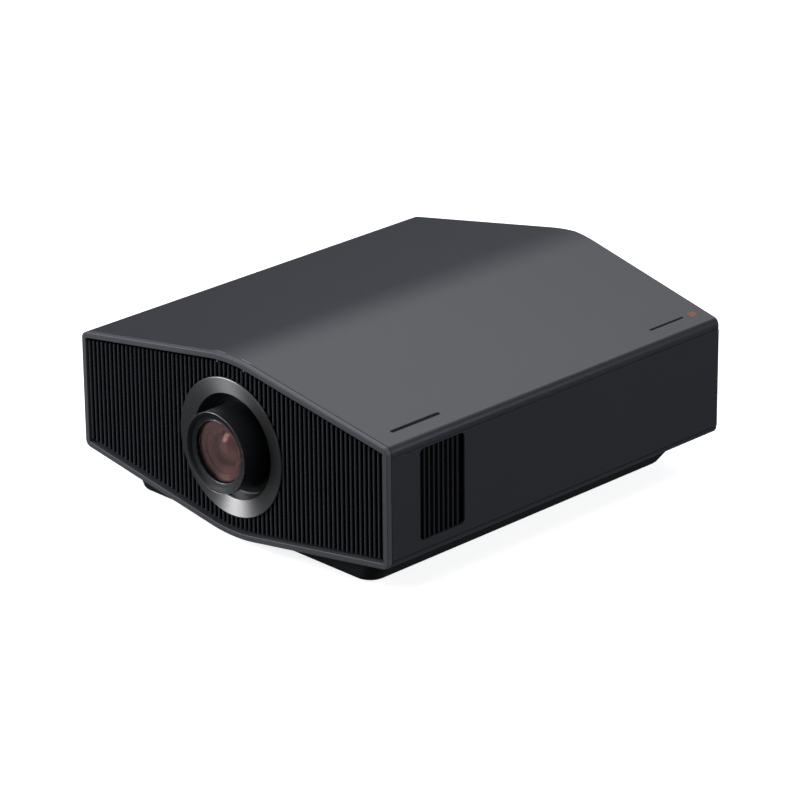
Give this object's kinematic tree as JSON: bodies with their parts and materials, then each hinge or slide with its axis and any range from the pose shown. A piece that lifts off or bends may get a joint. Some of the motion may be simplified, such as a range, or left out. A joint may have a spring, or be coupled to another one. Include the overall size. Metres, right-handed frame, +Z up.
{
  "type": "home projector",
  "caption": "Home-cinema projector with a ridged box body, full-width slatted front, a centred shifting zoom lens in a silver ring, side vent, controls, screw feet and its light engine inside",
  "frame": {"origin": "centre of the footprint of the bounding box, on the plane the feet stand on", "axes": "+Z up, -Y the way the lens points (front), +X the right-hand side seen from the front"},
  "size_m": [0.46, 0.5386, 0.21],
  "materials": {
    "shell": "satin dark grey moulded plastic with a fine texture",
    "bezel": "smooth satin mid-grey plastic",
    "slats": "satin grey plastic slats",
    "ring": "satin bead-blasted silver",
    "base_black": "matt black moulded plastic",
    "gloss_black": "glossy black plastic",
    "barrel": "satin dark grey barrel",
    "lens_black": "matt black lens parts",
    "coated_glass": "multi-coated glass with a wine-red reflection",
    "clear_glass": "clear optical glass",
    "light_pipe": "clear moulded light pipe",
    "rubber": "black rubber",
    "connector_black": "black moulded plastic",
    "steel": "plain bright steel",
    "sheet_steel": "zinc-coated sheet steel",
    "aluminium": "plain aluminium",
    "brass": "machined brass",
    "board": "green circuit board",
    "phosphor": "yellow phosphor coating on a disc",
    "foam": "dark open-cell filter foam"
  },
  "bodies": {
    "root": {"top_cover": "shell", "right_side_panel": "shell", "left_side_panel": "shell", "bottom_casing": "shell", "rear_panel": "shell", "front_bezel": "bezel", "front_grille": "slats", "lens_surround_ring": "ring", "base_plinth": "base_black", "side_vent_grille": "base_black", "left_fan_frame": "base_black", "right_fan_frame": "base_black", "optics_housing": "base_black", "prism_block": "clear_glass", "left_indicator_light": "light_pipe", "right_indicator_light": "light_pipe", "rear_left_foot": "rubber", "rear_right_foot": "rubber", "terminal_bay": "connector_black", "power_inlet": "connector_black", "video_port_1": "steel", "video_port_2": "steel", "vertical_shift_motor": "steel", "chassis_plate": "sheet_steel", "lens_mount_plate": "aluminium", "laser_heat_sink": "aluminium", "laser_module": "brass", "main_board": "board", "power_supply": "board", "intake_filter": "foam"},
    "vertical_shift": {"vertical_shift_carriage": "aluminium", "sideways_shift_motor": "steel"},
    "sideways_shift": {"sideways_shift_carriage": "aluminium", "lens_tube": "lens_black", "lens_shroud": "gloss_black", "focus_motor": "steel", "zoom_motor": "steel"},
    "front_group": {"front_barrel": "barrel", "front_lens_element": "coated_glass"},
    "zoom_group": {"zoom_lens_element": "clear_glass"},
    "focus_ring": {"focus_ring": "lens_black"},
    "zoom_ring": {"zoom_ring": "lens_black"},
    "focus_pinion": {"focus_pinion": "brass"},
    "zoom_pinion": {"zoom_pinion": "brass"},
    "vertical_screw": {"vertical_shift_screw": "steel"},
    "sideways_screw": {"sideways_shift_screw": "steel"},
    "left_fan": {"left_fan_rotor": "connector_black"},
    "right_fan": {"right_fan_rotor": "connector_black"},
    "phosphor_wheel": {"phosphor_wheel": "phosphor"},
    "power_button": {"power_button": "bezel"},
    "menu_button": {"menu_button": "bezel"},
    "enter_button": {"enter_button": "bezel"},
    "back_key": {"back_key": "bezel"},
    "up_key": {"up_key": "bezel"},
    "front_key": {"front_key": "bezel"},
    "down_key": {"down_key": "bezel"},
    "left_foot_clip": {"front_left_foot_clip": "steel"},
    "left_foot": {"front_left_foot": "rubber"},
    "right_foot_clip": {"front_right_foot_clip": "steel"},
    "right_foot": {"front_right_foot": "rubber"}
  },
  "joints": [
    {"name": "vertical_lens_shift", "type": "slide", "parent": "root", "child": "vertical_shift", "axis": [0, 0, 1], "range_m": [-0.0065, 0.0065]},
    {"name": "sideways_lens_shift", "type": "slide", "parent": "vertical_shift", "child": "sideways_shift", "axis": [1, 0, 0], "range_m": [-0.0048, 0.0048]},
    {"name": "vertical_screw_turn", "type": "hinge", "parent": "root", "child": "vertical_screw", "pos_m": [-0.112, -0.16665, 0.11041], "axis": [0, 0, 1], "range_deg": [-785, 785]},
    {"name": "sideways_screw_turn", "type": "hinge", "parent": "vertical_shift", "child": "sideways_screw", "pos_m": [0, -0.17275, 0.17241], "axis": [1, 0, 0], "range_deg": [-580, 580]},
    {"name": "focus_turn", "type": "hinge", "parent": "sideways_shift", "child": "focus_ring", "pos_m": [0, -0.21875, 0.11041], "axis": [0, 1, 0], "range_deg": [-60, 60]},
    {"name": "focus_pinion_turn", "type": "hinge", "parent": "sideways_shift", "child": "focus_pinion", "pos_m": [-0.04045, -0.21875, 0.15086], "axis": [0, 1, 0], "range_deg": [-515, 515]},
    {"name": "focus_travel", "type": "slide", "parent": "sideways_shift", "child": "front_group", "axis": [0, 1, 0], "range_m": [-0.0015, 0.0015]},
    {"name": "zoom_turn", "type": "hinge", "parent": "sideways_shift", "child": "zoom_ring", "pos_m": [0, -0.20575, 0.11041], "axis": [0, 1, 0], "range_deg": [-70, 70]},
    {"name": "zoom_pinion_turn", "type": "hinge", "parent": "sideways_shift", "child": "zoom_pinion", "pos_m": [0.04045, -0.20575, 0.15086], "axis": [0, 1, 0], "range_deg": [-600, 600]},
    {"name": "zoom_travel", "type": "slide", "parent": "sideways_shift", "child": "zoom_group", "axis": [0, 1, 0], "range_m": [-0.005, 0.005]},
    {"name": "left_fan_spin", "type": "hinge", "parent": "root", "child": "left_fan", "pos_m": [-0.161, -0.21775, 0.11041], "axis": [0, 1, 0], "continuous": true},
    {"name": "right_fan_spin", "type": "hinge", "parent": "root", "child": "right_fan", "pos_m": [0.161, -0.21775, 0.11041], "axis": [0, 1, 0], "continuous": true},
    {"name": "phosphor_wheel_spin", "type": "hinge", "parent": "root", "child": "phosphor_wheel", "pos_m": [-0.068, -0.04075, 0.10641], "axis": [0, 1, 0], "continuous": true},
    {"name": "power_button_press", "type": "slide", "parent": "root", "child": "power_button", "axis": [1, 0, 0], "range_m": [0, 0.0008], "stiffness_N_per_m": 1500},
    {"name": "menu_button_press", "type": "slide", "parent": "root", "child": "menu_button", "axis": [1, 0, 0], "range_m": [0, 0.0008], "stiffness_N_per_m": 1500},
    {"name": "enter_button_press", "type": "slide", "parent": "root", "child": "enter_button", "axis": [1, 0, 0], "range_m": [0, 0.0008], "stiffness_N_per_m": 1500},
    {"name": "back_key_press", "type": "slide", "parent": "root", "child": "back_key", "axis": [1, 0, 0], "range_m": [0, 0.0008], "stiffness_N_per_m": 1500},
    {"name": "up_key_press", "type": "slide", "parent": "root", "child": "up_key", "axis": [1, 0, 0], "range_m": [0, 0.0008], "stiffness_N_per_m": 1500},
    {"name": "front_key_press", "type": "slide", "parent": "root", "child": "front_key", "axis": [1, 0, 0], "range_m": [0, 0.0008], "stiffness_N_per_m": 1500},
    {"name": "down_key_press", "type": "slide", "parent": "root", "child": "down_key", "axis": [1, 0, 0], "range_m": [0, 0.0008], "stiffness_N_per_m": 1500},
    {"name": "left_foot_height", "type": "slide", "parent": "root", "child": "left_foot_clip", "axis": [0, 0, -1], "range_m": [0, 0.01]},
    {"name": "left_foot_turn", "type": "hinge", "parent": "left_foot_clip", "child": "left_foot", "pos_m": [-0.14, -0.18375, 0.002], "axis": [0, 0, -1], "range_deg": [0, 1801]},
    {"name": "right_foot_height", "type": "slide", "parent": "root", "child": "right_foot_clip", "axis": [0, 0, -1], "range_m": [0, 0.01]},
    {"name": "right_foot_turn", "type": "hinge", "parent": "right_foot_clip", "child": "right_foot", "pos_m": [0.14, -0.18375, 0.002], "axis": [0, 0, -1], "range_deg": [0, 1801]}
  ],
  "couplings": [
    {"joint": "vertical_screw_turn", "follows": "vertical_lens_shift", "rad_per_m": -2094.4},
    {"joint": "sideways_screw_turn", "follows": "sideways_lens_shift", "rad_per_m": -2094.4},
    {"joint": "focus_travel", "follows": "focus_turn", "m_per_rad": 0.00143},
    {"joint": "focus_pinion_turn", "follows": "focus_turn", "ratio": -8.4667},
    {"joint": "zoom_travel", "follows": "zoom_turn", "m_per_rad": 0.00409},
    {"joint": "zoom_pinion_turn", "follows": "zoom_turn", "ratio": -8.4667},
    {"joint": "left_foot_turn", "follows": "left_foot_height", "rad_per_m": 3141.6},
    {"joint": "right_foot_turn", "follows": "right_foot_height", "rad_per_m": 3141.6}
  ]
}
